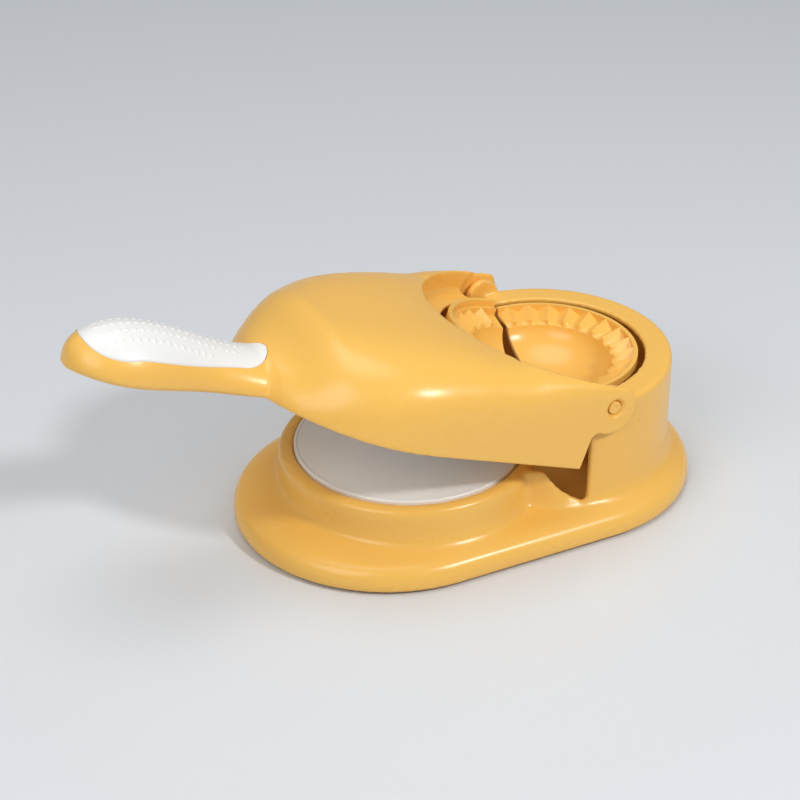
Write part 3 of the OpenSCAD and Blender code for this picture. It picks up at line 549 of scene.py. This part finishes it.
# ---- Lid moulding ------------------------------------------------------------
# The lid and its long handle are one hollow moulding with softly rounded edges. Its
# round recess swallows the tower when the lid is thrown right over. It is built here
# closed, in millimetres, and then swung open about the hinge to where it rests.
rest_angle = math.radians(20.5)
recess_radius, lid_wall = 54.2, 2.2
lid_radius = recess_radius + lid_wall
deck_top, deck_thickness, deck_opening = hinge.z - 0.3, 2.2, 43.6
rim_height, edge_height, neck_lift = 29.5, 30.0, 0.6
lid_front = -arc_x - lid_radius
handle_length = 76.7
handle_tip = lid_front - handle_length
recess_front = hinge.x - recess_radius


def quarter(t):
    return math.sqrt(max(0.0, 1 - (1 - min(1.0, max(0.0, t))) ** 2))


def ease(t):
    return (1 - math.cos(math.pi * min(1.0, max(0.0, t)))) / 2


def soft_max(a, b, width):
    return max(a, b) + max(width - abs(a - b), 0) ** 2 / (4 * width)


# the handle seen from above: a broad pad that narrows to a neck, blended into the lid
pad_half, pad_reach = 18.6, 24
neck_narrowing, neck_reach = 3.5, 33.7
plan_power, plan_slope, plan_blend = 2.2, 0.9, 34


def lid_half(x):
    """Half the width of lid and handle at x."""
    ahead = max(0.0, -arc_x - x)
    if ahead < lid_radius:
        dome = lid_radius * (1 - (ahead / lid_radius) ** plan_power) ** (1 / plan_power)
    else:
        dome = -plan_slope * (ahead - lid_radius)
    s = x - handle_tip
    handle = pad_half * quarter(s / pad_reach) - neck_narrowing * ease((s - pad_reach) / neck_reach)
    return max(0.4, soft_max(dome, handle, plan_blend))


# the handle and the lid seen from the side: tip, crown, neck, dome, and the rise to the ears
tip_height, crown_rise, crown_reach = 32, 14.6, 27
neck_drop, neck_drop_reach = 5.2, 44.7
dome_foot, dome_height, dome_rise, dome_reach, dome_power = lid_front + 2, 40, 18.2, 18, 1.15
dome_slope, back_start, back_rise, back_power = 2, 8, 7.5, 1.2
crest_blend = 10


def lid_crest(x):
    """Height of the lid's middle line at x."""
    s = x - handle_tip
    handle = (tip_height + crown_rise * quarter(s / crown_reach)
              - neck_drop * ease((s - crown_reach) / neck_drop_reach))
    front = min(1.0, max(0.0, (x - dome_foot) / dome_reach))
    back = min(1.0, max(0.0, (x - lid_front - back_start) / (recess_front - lid_front - back_start)))
    dome = (dome_height + dome_rise * math.sin(math.pi / 2 * front) ** dome_power
            - dome_slope * max(0.0, dome_foot - x) + back_rise * math.sin(math.pi / 2 * back) ** back_power)
    return soft_max(handle, dome, crest_blend)


# powers of the cross-section: 2 is round, and a high one is nearly square
square_places = np.array([0, 54, 83, 95, 111, 134, 151, 159, 179, 195]) + handle_tip
square_powers = np.array([1.8, 1.9, 2.0, 2.5, 3.3, 4.1, 5.1, 5.4, 10, 22])
square_spread = np.linspace(-9, 9, 13)


def squareness(x):
    """How square the cross-section is at x, changing without a kink."""
    return 1 / float(np.mean(np.interp(x + square_spread, square_places, 1 / square_powers)))


under_start, under_reach = 59, 25
side_round, side_round_loss = 5, 4.5


def turn_under(x):
    """0 where the handle is round below, 1 where the lid's skirt is open below."""
    return ease((x - handle_tip - under_start) / under_reach)


def side_edge(x):
    """Height of the widest line of the side at x."""
    return edge_height + (rim_height + neck_lift - edge_height) * turn_under(x)


def lid_top(x, y):
    """Height of the outer skin at one place."""
    edge, power = side_edge(x), squareness(x)
    share = max(0.0, 1 - min(1.0, abs(y) / lid_half(x)) ** power)
    return edge + (lid_crest(x) - edge) * share ** (1 / power)


def lid_ring(x, shrink, low, count):
    """One cross-section of the lid, as a closed ring of points."""
    half, edge = max(0.2, lid_half(x) - shrink), side_edge(x)
    high = max(0.2, lid_crest(x) - shrink - edge)
    power = 2 / squareness(x)
    inset = min(half * 0.5, lid_half(x) * 0.4, side_round - side_round_loss * turn_under(x))
    ring = []
    for i in range(count + 1):
        t = math.pi * i / count
        c, s = math.cos(t), max(0.0, math.sin(t))
        ring.append((x, -math.copysign(abs(c) ** power, c) * half, edge + high * s ** power))
    lower = [math.radians(a) for a in (18, 36, 54, 72, 90)]
    below = [(half - inset + inset * math.cos(t), edge - (edge - low) * math.sin(t)) for t in lower]
    ring += [(x, y, z) for y, z in below]
    ring += [(x, -y, z) for y, z in reversed(below)]
    return ring


def spread(start, end, count, power=1.0):
    """Places from start up to, but without, end. A higher power crowds them at the start."""
    return [start + (end - start) * (i / count) ** power for i in range(count)]


lid_end, lid_back = hinge.x + 14.2, hinge.x - 20
handle_under, tip_flat = 27, 0.15
pad_end, dome_end = handle_tip + 22, lid_front + 24
outer_places = (spread(handle_tip + tip_flat, pad_end, 16, 2.0) + spread(pad_end, dome_end, 60)
                + spread(dome_end, lid_back, 40) + spread(lid_back, lid_end, 10) + [lid_end])


def lid_outside():
    low = [handle_under + (rim_height - handle_under) * turn_under(x) for x in outer_places]
    return skin_over("lid_outside", [lid_ring(x, 0.0, z, 72) for x, z in zip(outer_places, low)])


def lid_plan(radius, end):
    arc = [(-arc_x - radius * math.sin(t), radius * math.cos(t)) for t in np.linspace(0, math.pi, 97)]
    return [(end, radius)] + arc + [(end, -radius)]


# the cavity below, and the recess with its flat deck round the tower
lid = lid_outside()
crown_wall, below_lid, past_lid = lid_wall - 0.2, 10, 150
cavity_places = spread(lid_front + 6, lid_back, 50) + [lid_back, lid_end + 4]
cavity = skin_over("cavity", [lid_ring(x, crown_wall, rim_height - 6, 48) for x in cavity_places])
carve(cavity, slab(lid_plan(recess_radius, hinge.x + 60), below_lid, above), "INTERSECT")
carve(cavity, drum(hinge.x, 0, lid_radius, deck_top - deck_thickness, above))
carve(lid, cavity)
carve(lid, drum(hinge.x, 0, recess_radius, deck_top, above))
carve(lid, drum(hinge.x, 0, deck_opening, below_lid, 70))
deck_end = hinge.x - lip_gap
carve(lid, slab([(deck_end, -recess_radius), (past_lid, -recess_radius), (past_lid, recess_radius),
                 (deck_end, recess_radius)], below_lid, above))

# the ears' outline, seen from the side
ear_radius, ear_front, ear_drop = 10.2, 0.8, 1.2
skirt_back, corner = 5.8, 3.0
behind_ears = 160.0
ear_x, ear_z = hinge.x - ear_front, hinge.z - ear_drop
skirt_x = hinge.x - skirt_back
corner_x = skirt_x + corner
corner_z = ear_z - math.sqrt((ear_radius + corner) ** 2 - (ear_x - corner_x) ** 2)
touch = math.atan2(ear_z - corner_z, ear_x - corner_x)
outline = [(skirt_x, 0.0), (skirt_x, corner_z)]
outline += [(corner_x + corner * math.cos(t), corner_z + corner * math.sin(t))
            for t in np.linspace(math.pi, touch, 10)[1:]]
outline += [(ear_x + ear_radius * math.cos(t), ear_z + ear_radius * math.sin(t))
            for t in np.linspace(touch + math.pi, 2.5 * math.pi, 64)[1:]]
outline += [(ear_x, above_tower), (behind_ears, above_tower), (behind_ears, 0.0)]
carve(lid, slab(outline, -beside, beside, upright=True))

# room for the tower's lugs, the pins' bores, and a shallow round recess outside each pin
lug_room, lug_room_inner = 9.4, 47.2
pin_bore, pin_bore_inner, pin_recess, pin_recess_depth = 2.71, 50.0, 3.9, 1.5
for side in (-1, 1):
    carve(lid, cross_drum(lug_room, side, lug_room_inner, recess_radius))
    carve(lid, cross_drum(pin_bore, side, pin_bore_inner, beside))
    carve(lid, cross_drum(pin_recess, side, lid_radius - pin_recess_depth, beside))


def keep_to(obj, pattern, reach, free):
    """Puts points that lie close to the true surface back on it, as far as free says."""
    form = bmesh.new()
    form.from_mesh(pattern.data)
    tree = BVHTree.FromBMesh(form)
    form.free()
    places = points_of(obj)
    weights = free(places)
    for i in np.nonzero(weights > 0)[0]:
        hit = tree.find_nearest(Vector(places[i]), reach)
        if hit[0] is not None:
            places[i] += (np.array(hit[0]) - places[i]) * weights[i]
    obj.data.vertices.foreach_set("co", places.ravel())
    obj.data.update()


def lid_skin_weight(p):
    """1 on the lid's outer skin, falling to 0 near its rounded edges and on the ears."""
    far_off, recess_fade, edge_fade = 9.0, (1.6, 3.2), (1.2, 3.0)
    outside = np.hypot(p[:, 0] - hinge.x, p[:, 1]) - recess_radius
    from_recess = np.where(p[:, 2] > deck_top - 3, outside, far_off)
    above_rim = np.where(p[:, 0] > lid_front - 6, p[:, 2] - rim_height, far_off)
    from_skirt = np.where(p[:, 2] < ear_z, skirt_x - p[:, 0], ear_x - p[:, 0])
    ear = ramp(p[:, 0], -4.0, 6.0) * (p[:, 2] > hinge.z)
    return (ramp(from_recess, *recess_fade) * ramp(above_rim, *edge_fade) * ramp(from_skirt, *edge_fade)
            * (1 - ear))


def lift_ears(obj, height):
    """Gives the thin walls of the ears back the height that softening took."""
    along, up, aside = (-8.0, 4.0), (60.0, 64.4), 40
    p = points_of(obj)
    p[:, 2] += height * ramp(p[:, 0], *along) * ramp(p[:, 2], *up) * (np.abs(p[:, 1]) > aside)
    obj.data.vertices.foreach_set("co", p.ravel())
    obj.data.update()


soften(lid, 0.75)
pattern = lid_outside()
keep_to(lid, pattern, 0.6, lid_skin_weight)
bpy.data.objects.remove(pattern)
lift_ears(lid, 1.0)


def swing_open(obj):
    """From the closed lid in millimetres to the resting lid in metres."""
    obj.data.transform(to_metres @ Matrix.Translation(hinge) @ Matrix.Rotation(rest_angle, 4, "Y")
                       @ Matrix.Translation(-hinge))
    obj.data.update()


swing_open(folding_half)
finish_piece(folding_half, "folding_crimping_half", "lid", yellow, "folding_mould",
             crease=28)

# ---- Handle grip -------------------------------------------------------------
# A white plastic pad let into the top of the handle, flush with it, with rows of small
# raised dots for the thumb. It drops into a shallow seat and is screwed from below.
grip_start, grip_nose, grip_taper, grip_rear = 3.6, 17, 25.0, 67.7
grip_half_width, grip_end_radius = 15.4, 11.0
grip_thickness, grip_edge, seat_gap, seat_depth = 2.4, 0.45, 0.2, 2.5
grip_feet, grip_foot_radius, grip_foot_low = (24, 58), 3.2, 26.8
dot_pitch, dot_radius, dot_height = 3.03, 0.92, 0.36
dot_rows = [(-9.2, 10.2, 15), (-4.6, 9.6, 19), (0.0, 8.6, 21), (4.6, 9.6, 19), (9.2, 10.2, 15)]
dots = [(start + dot_pitch * i, y) for y, start, count in dot_rows for i in range(count)]


def grip_half(s, gap):
    """Half the width of the grip at a distance s from the handle's tip."""
    widest, end = grip_half_width + gap, grip_end_radius + gap
    if s >= grip_rear:
        return math.sqrt(max(0.04, end ** 2 - (s - grip_rear) ** 2))
    taper = ease((s - grip_taper) / (grip_rear - grip_taper))
    return max(0.2, widest * quarter((s - grip_start + gap) / grip_nose) + (end - widest) * taper)


def grip_places(gap, steps, fine=20):
    """Distances from the handle's tip, closer together at the grip's two round ends."""
    nose_end = grip_start + 8
    reach = grip_end_radius + gap - hair
    rear = [grip_rear + reach * math.sin(math.pi / 2 * i / fine) for i in range(fine + 1)]
    return spread(grip_start - gap + hair, nose_end, fine, 2.0) + spread(nose_end, grip_rear, steps) + rear


def dot_rise(s, y):
    """How far the dots lift the grip's face at one place."""
    nearest = min(math.hypot(s - at, y - row) for at, row in dots)
    return dot_height * max(0.0, 1 - (nearest / dot_radius) ** 2) ** 1.1


def grip_form(name, gap, lift, thickness, steps, columns, edge=0.0):
    """The grip, flush with the handle's crown, or with a gap the seat that takes it."""
    rings = []
    for s in grip_places(gap, steps):
        x, half = handle_tip + s, grip_half(s, gap)
        top = []
        for i in range(columns + 1):
            y = half * (2 * i / columns - 1)
            drop = 0.0
            if edge:
                inward = min(half - abs(y), s - grip_start, edge)
                drop = edge - math.sqrt(max(0.0, edge ** 2 - (edge - inward) ** 2)) - dot_rise(s, y)
            top.append((x, y, lid_top(x, y) + lift - drop))
        rings.append(top + [(x, y, lid_top(x, y) - thickness) for y in np.linspace(half, -half, 13)])
    return skin_over(name, rings)


carve(lid, grip_form("seat", seat_gap, 3.0, seat_depth, 40, 24))
swing_open(lid)
finish_piece(lid, "lid_moulding", "lid", yellow, "lid_shell", crease=60)

grip = grip_form("grip", 0.0, 0.0, grip_thickness, 270, 124, edge=grip_edge)
for place in grip_feet:
    x = handle_tip + place
    foot = drum(x, 0, grip_foot_radius, grip_foot_low, lid_top(x, 0) - grip_thickness / 2, segments=32)
    carve(grip, foot, "UNION", "FAST")
swing_open(grip)
finish_piece(grip, "thumb_grip", "lid", white, "handle_grip")

# ---- Liner -------------------------------------------------------------------
# A flat yellow moulding that closes the lid from below and stiffens it, held by six screws.
# It also carries the press plate.
paint("lid_liner", yellow)

# ---- Press plate -------------------------------------------------------------
# A round plate of white plastic under the liner, which flattens the dough when the lid is
# pushed down. Three screws hold it from inside the lid.
paint("press_plate", white)

# ---- Hinge pins --------------------------------------------------------------
# Two stub pins of yellow plastic, pressed through the ears of the lid, that turn in the
# tower's lugs. Their outer ends are rounded, with the small mark of the moulding gate.
pin_radius, pin_inner, pin_bevel, pin_round = 2.7, 50.8, 0.3, 0.45
pin_end = lid_radius - 1.2
gate_mark = [(1.5, 0.55), (1.05, 0.55), (0.85, 0.35), (axis, 0.33)]
pin_shape = [(axis, pin_inner), (pin_radius - pin_bevel, pin_inner), (pin_radius, pin_inner + pin_bevel),
             (pin_radius, pin_end)]
pin_shape += [(pin_radius - pin_round * (1 - math.cos(t)), pin_end + pin_round * math.sin(t))
              for t in np.linspace(0.2, 1.57, 6)]
pin_shape += [(r, pin_end + rise) for r, rise in gate_mark]
for side, name in ((-1, "near"), (1, "far")):
    pin = skin_over(name, [[(hinge.x + r * math.cos(t), side * y, hinge.z + r * math.sin(t))
                            for t in full_turn(64)] for r, y in pin_shape])
    swing_open(pin)
    finish_piece(pin, name + "_stub_pin", "lid", yellow, name + "_hinge_pin", crease=35)

# ---- Floor, lamps and camera -------------------------------------------------
# A plain pale floor with a faint sheen. A small key lamp in front gives the highlights,
# and two large soft lamps and a dim cool sky fill the shade.
floor_mesh = bpy.data.meshes.new("floor")
floor_form = bmesh.new()
bmesh.ops.create_grid(floor_form, x_segments=1, y_segments=1, size=6.0)
floor_form.to_mesh(floor_mesh)
floor_form.free()
floor = bpy.data.objects.new("floor", floor_mesh)
bpy.context.scene.collection.objects.link(floor)
floor_paint = bpy.data.materials.new("Pale Floor")
floor_paint.use_nodes = True
floor_shader = floor_paint.node_tree.nodes["Principled BSDF"]
floor_shader.inputs["Base Color"].default_value = (0.72, 0.74, 0.76, 1.0)
floor_shader.inputs["Roughness"].default_value = 0.35
floor_mesh.materials.append(floor_paint)


def aim(obj, place, target):
    obj.location = place
    obj.rotation_euler = (Vector(target) - Vector(place)).to_track_quat("-Z", "Y").to_euler()


def lamp(name, place, size, power):
    """A round soft lamp that points at the middle of the press."""
    data = bpy.data.lights.new(name, "AREA")
    data.shape, data.size, data.energy = "DISK", size, power
    obj = bpy.data.objects.new(name, data)
    bpy.context.scene.collection.objects.link(obj)
    aim(obj, place, (0.0, 0.0, 0.03))


lamp("key_lamp", (0.47, -0.95, 0.98), size=0.18, power=8.8)
lamp("fill_lamp", (-1.0, -0.5, 0.9), size=0.9, power=6.0)
lamp("top_lamp", (-0.1, 0.25, 1.7), size=1.2, power=10.0)

world = bpy.data.worlds.new("studio")
bpy.context.scene.world = world
world.use_nodes = True
sky = world.node_tree.nodes["Background"]
sky.inputs["Color"].default_value = (0.9, 0.94, 1.0, 1.0)
sky.inputs["Strength"].default_value = 0.28

camera_data = bpy.data.cameras.new("camera")
camera_data.lens, camera_data.sensor_width, camera_data.clip_start = 92.92, 36.0, 0.05
camera = bpy.data.objects.new("camera", camera_data)
bpy.context.scene.collection.objects.link(camera)
aim(camera, (-0.3522, -0.6302, 0.4647), (0.0083, 0.0743, 0.0))
bpy.context.scene.camera = camera
bpy.context.scene.view_settings.view_transform = "Standard"
